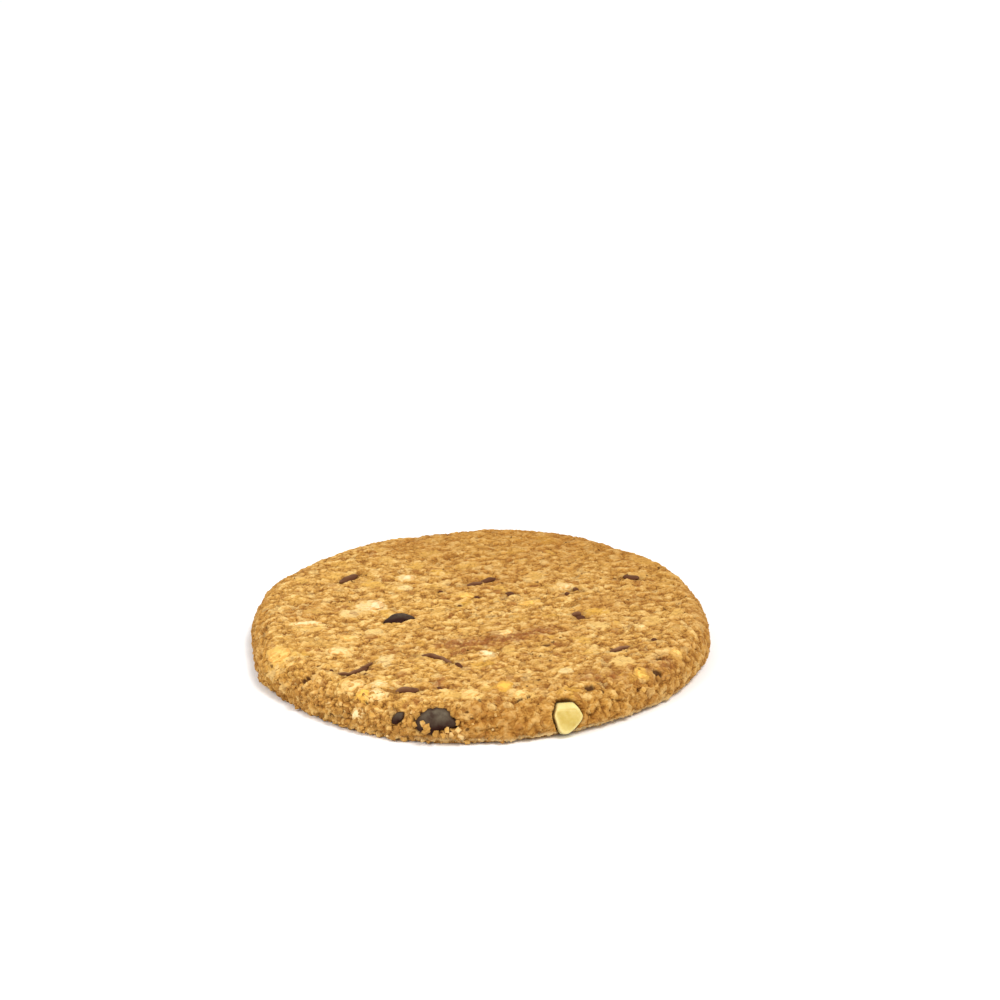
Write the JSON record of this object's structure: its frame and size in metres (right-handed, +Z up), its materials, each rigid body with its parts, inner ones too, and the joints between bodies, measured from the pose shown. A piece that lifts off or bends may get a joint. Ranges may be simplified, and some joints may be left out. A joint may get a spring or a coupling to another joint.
{
  "type": "chocolate oat biscuit",
  "caption": "Round rough oat biscuit with a flat baked underside, a rounded crumbly rim, and chocolate, oat flakes and a piece of nut showing in the crust.",
  "frame": {"origin": "on the underside, below the middle of the biscuit's box", "axes": "+Z up through the top of the biscuit; -Y towards the side with the piece of nut, which the picture shows in front"},
  "size_m": [0.075, 0.078, 0.007],
  "materials": {
    "baked_dough": "matte baked oat dough, golden tan with paler flakes and small brown pores",
    "chocolate": "dark chocolate with a dull bloom from baking",
    "oat_flake": "rolled oat flake, matte and pale",
    "nut": "chopped nut, cream coloured with a faint sheen"
  },
  "bodies": {
    "root": {"biscuit": "baked_dough"}
  },
  "joints": []
}
